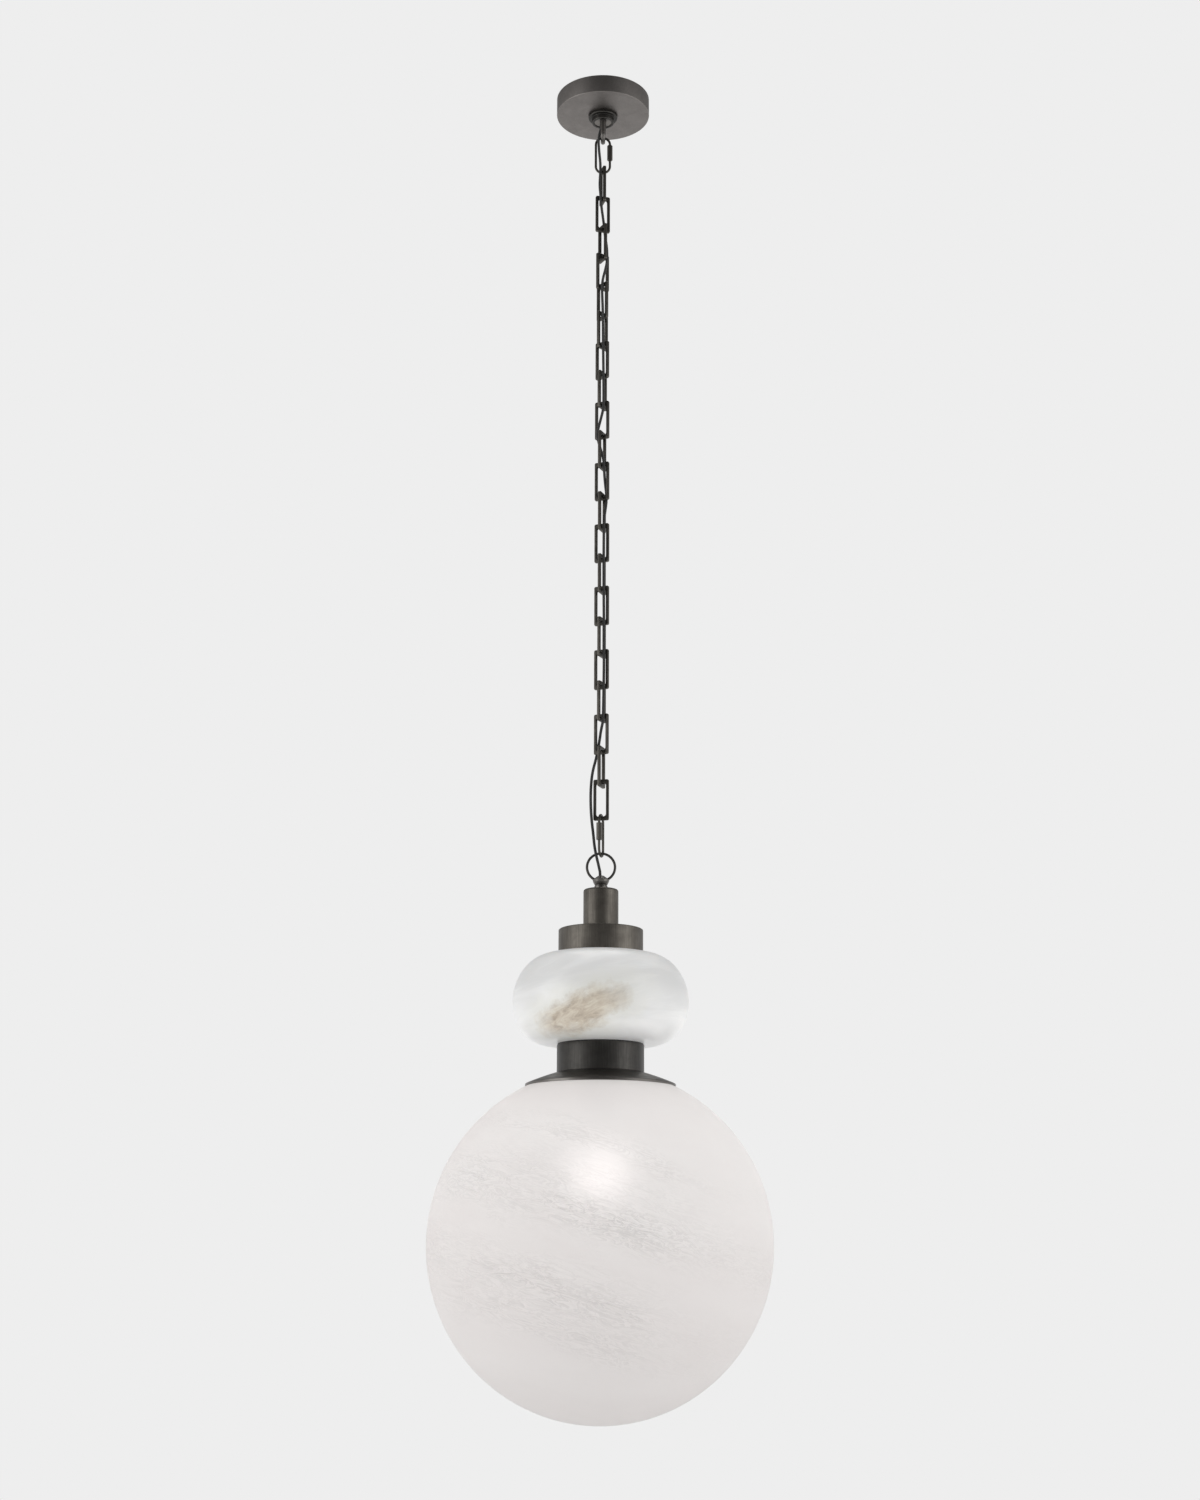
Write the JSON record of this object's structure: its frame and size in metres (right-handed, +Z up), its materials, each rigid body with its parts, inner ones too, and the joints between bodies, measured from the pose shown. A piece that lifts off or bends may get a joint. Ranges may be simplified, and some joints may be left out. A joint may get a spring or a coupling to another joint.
{
  "type": "globe pendant light",
  "caption": "Chain-hung pendant: ceiling canopy, link chain with woven cord, ring loop, stacked caps, squashed alabaster ring and a large clouded glass globe.",
  "frame": {"origin": "middle of the crossbar's upper face, in the plane of the ceiling, midway between its two box-screw slots", "axes": "+Z up; the part hangs down -Z; +X along the crossbar, +Y to the back"},
  "size_m": [0.4, 0.4, 1.7043],
  "materials": {
    "sheet_bronze": "dark bronze, brushed satin",
    "turned_bronze": "dark bronze, satin",
    "cast_bronze": "dark bronze, cast and rubbed",
    "chain_bronze": "dark bronze, rubbed edges",
    "link_bronze": "dark bronze wire, satin",
    "zinc_steel": "zinc plated",
    "earth_green": "green, the colour of an earth screw",
    "cord_cloth": "black woven sleeve",
    "lead_insulation": "plain insulation",
    "connector_plastic": "moulded",
    "seal_rubber": "matt",
    "alabaster": "polished alabaster with brown veins; stone of nearly the density of glass",
    "globe_glass": "clouded white glass with fine diagonal swirls",
    "holder_phenolic": "moulded black",
    "lamp_metal": "bright shell",
    "lamp_glass": "frosted white"
  },
  "bodies": {
    "ceiling_mount": {"crossbar": "zinc_steel", "earth_screw": "earth_green", "nipple": "zinc_steel", "nipple_locknut": "zinc_steel", "canopy_loop": "cast_bronze", "cord": "cord_cloth", "lead_tails": "lead_insulation", "wire_connectors": "connector_plastic"},
    "canopy": {"canopy": "sheet_bronze", "screw_collar": "turned_bronze"},
    "upper_link": {"upper_quick_link": "link_bronze"},
    "upper_sleeve": {"upper_sleeve": "link_bronze"},
    "link_01": {"chain_link_01": "chain_bronze"},
    "link_02": {"chain_link_02": "chain_bronze"},
    "link_03": {"chain_link_03": "chain_bronze"},
    "link_04": {"chain_link_04": "chain_bronze"},
    "link_05": {"chain_link_05": "chain_bronze"},
    "link_06": {"chain_link_06": "chain_bronze"},
    "link_07": {"chain_link_07": "chain_bronze"},
    "link_08": {"chain_link_08": "chain_bronze"},
    "link_09": {"chain_link_09": "chain_bronze"},
    "link_10": {"chain_link_10": "chain_bronze"},
    "link_11": {"chain_link_11": "chain_bronze"},
    "link_12": {"chain_link_12": "chain_bronze"},
    "link_13": {"chain_link_13": "chain_bronze"},
    "link_14": {"chain_link_14": "chain_bronze"},
    "link_15": {"chain_link_15": "chain_bronze"},
    "link_16": {"chain_link_16": "chain_bronze"},
    "link_17": {"chain_link_17": "chain_bronze"},
    "link_18": {"chain_link_18": "chain_bronze"},
    "link_19": {"chain_link_19": "chain_bronze"},
    "link_20": {"chain_link_20": "chain_bronze"},
    "link_21": {"chain_link_21": "chain_bronze"},
    "lower_link": {"lower_quick_link": "link_bronze"},
    "lower_sleeve": {"lower_sleeve": "link_bronze"},
    "pendant": {"ring_loop": "cast_bronze", "stem_cap": "sheet_bronze", "disk_cap": "sheet_bronze", "upper_gasket": "seal_rubber", "alabaster_ring": "alabaster", "lower_gasket": "seal_rubber", "neck_collar": "sheet_bronze", "flared_cap": "turned_bronze", "globe_gasket": "seal_rubber", "globe": "globe_glass", "globe_holder": "zinc_steel", "holder_pads": "seal_rubber", "centre_pipe": "zinc_steel", "pipe_nuts": "zinc_steel", "pipe_washers": "zinc_steel", "lampholder_cap": "turned_bronze", "lampholder": "holder_phenolic", "lamp_base": "lamp_metal", "lamp_glass": "lamp_glass"}
  },
  "joints": [
    {"name": "canopy_drop", "type": "slide", "parent": "ceiling_mount", "child": "canopy", "axis": [0, 0, -1], "range_m": [0, 0.012]},
    {"name": "upper_link_swing", "type": "hinge", "parent": "ceiling_mount", "child": "upper_link", "pos_m": [0, 0, -0.06085], "axis": [0, 1, 0], "range_deg": [-15, 15], "deforming": ["cord"]},
    {"name": "upper_sleeve_slide", "type": "slide", "parent": "upper_link", "child": "upper_sleeve", "axis": [0, 0, -1], "range_m": [0, 0.0065]},
    {"name": "link_01_swing", "type": "hinge", "parent": "upper_link", "child": "link_01", "pos_m": [0, 0, -0.10675], "axis": [1, 0, 0], "range_deg": [-5, 5], "deforming": ["cord"]},
    {"name": "link_02_swing", "type": "hinge", "parent": "link_01", "child": "link_02", "pos_m": [0, 0, -0.14868], "axis": [0.2924, -0.9563, 0], "range_deg": [-5, 5], "deforming": ["cord"]},
    {"name": "link_03_swing", "type": "hinge", "parent": "link_02", "child": "link_03", "pos_m": [0, 0, -0.18987], "axis": [0.9563, 0.2924, 0], "range_deg": [-5, 5], "deforming": ["cord"]},
    {"name": "link_04_swing", "type": "hinge", "parent": "link_03", "child": "link_04", "pos_m": [0, 0, -0.23108], "axis": [0.4695, -0.8829, 0], "range_deg": [-5, 5], "deforming": ["cord"]},
    {"name": "link_05_swing", "type": "hinge", "parent": "link_04", "child": "link_05", "pos_m": [0, 0, -0.27227], "axis": [0.788, 0.6157, 0], "range_deg": [-5, 5], "deforming": ["cord"]},
    {"name": "link_06_swing", "type": "hinge", "parent": "link_05", "child": "link_06", "pos_m": [0, 0, -0.31348], "axis": [0.6691, -0.7431, 0], "range_deg": [-5, 5], "deforming": ["cord"]},
    {"name": "link_07_swing", "type": "hinge", "parent": "link_06", "child": "link_07", "pos_m": [0, 0, -0.35468], "axis": [0.6293, 0.7771, 0], "range_deg": [-5, 5], "deforming": ["cord"]},
    {"name": "link_08_swing", "type": "hinge", "parent": "link_07", "child": "link_08", "pos_m": [0, 0, -0.39587], "axis": [0.8387, -0.5446, 0], "range_deg": [-5, 5], "deforming": ["cord"]},
    {"name": "link_09_swing", "type": "hinge", "parent": "link_08", "child": "link_09", "pos_m": [0, 0, -0.43707], "axis": [0.4848, 0.8746, 0], "range_deg": [-5, 5], "deforming": ["cord"]},
    {"name": "link_10_swing", "type": "hinge", "parent": "link_09", "child": "link_10", "pos_m": [0, 0, -0.47828], "axis": [0.9063, -0.4226, 0], "range_deg": [-5, 5], "deforming": ["cord"]},
    {"name": "link_11_swing", "type": "hinge", "parent": "link_10", "child": "link_11", "pos_m": [0, 0, -0.51948], "axis": [0.4067, 0.9135, 0], "range_deg": [-5, 5], "deforming": ["cord"]},
    {"name": "link_12_swing", "type": "hinge", "parent": "link_11", "child": "link_12", "pos_m": [0, 0, -0.56068], "axis": [0.9205, -0.3907, 0], "range_deg": [-5, 5], "deforming": ["cord"]},
    {"name": "link_13_swing", "type": "hinge", "parent": "link_12", "child": "link_13", "pos_m": [0, 0, -0.60188], "axis": [0.3746, 0.9272, 0], "range_deg": [-5, 5], "deforming": ["cord"]},
    {"name": "link_14_swing", "type": "hinge", "parent": "link_13", "child": "link_14", "pos_m": [0, 0, -0.64307], "axis": [0.9272, -0.3746, 0], "range_deg": [-5, 5], "deforming": ["cord"]},
    {"name": "link_15_swing", "type": "hinge", "parent": "link_14", "child": "link_15", "pos_m": [0, 0, -0.68427], "axis": [0.3746, 0.9272, 0], "range_deg": [-5, 5], "deforming": ["cord"]},
    {"name": "link_16_swing", "type": "hinge", "parent": "link_15", "child": "link_16", "pos_m": [0, 0, -0.72547], "axis": [0.9205, -0.3907, 0], "range_deg": [-5, 5], "deforming": ["cord"]},
    {"name": "link_17_swing", "type": "hinge", "parent": "link_16", "child": "link_17", "pos_m": [0, 0, -0.76667], "axis": [0.4067, 0.9135, 0], "range_deg": [-5, 5], "deforming": ["cord"]},
    {"name": "link_18_swing", "type": "hinge", "parent": "link_17", "child": "link_18", "pos_m": [0, 0, -0.80788], "axis": [0.9135, -0.4067, 0], "range_deg": [-5, 5], "deforming": ["cord"]},
    {"name": "link_19_swing", "type": "hinge", "parent": "link_18", "child": "link_19", "pos_m": [0, 0, -0.84908], "axis": [0.4226, 0.9063, 0], "range_deg": [-5, 5], "deforming": ["cord"]},
    {"name": "link_20_swing", "type": "hinge", "parent": "link_19", "child": "link_20", "pos_m": [0, 0, -0.89028], "axis": [0.8988, -0.4384, 0], "range_deg": [-5, 5], "deforming": ["cord"]},
    {"name": "link_21_swing", "type": "hinge", "parent": "link_20", "child": "link_21", "pos_m": [0, 0, -0.93148], "axis": [0.342, 0.9397, 0], "range_deg": [-5, 5], "deforming": ["cord"]},
    {"name": "lower_link_swing", "type": "hinge", "parent": "link_21", "child": "lower_link", "pos_m": [0, 0, -0.97267], "axis": [0.9781, -0.2079, 0], "range_deg": [-15, 15], "deforming": ["cord"]},
    {"name": "lower_sleeve_slide", "type": "slide", "parent": "lower_link", "child": "lower_sleeve", "axis": [0, 0, -1], "range_m": [0, 0.0065]},
    {"name": "pendant_swing", "type": "hinge", "parent": "lower_link", "child": "pendant", "pos_m": [0, 0, -1.01925], "axis": [-0.2588, -0.9659, 0], "range_deg": [-15, 15], "deforming": ["cord"]}
  ]
}
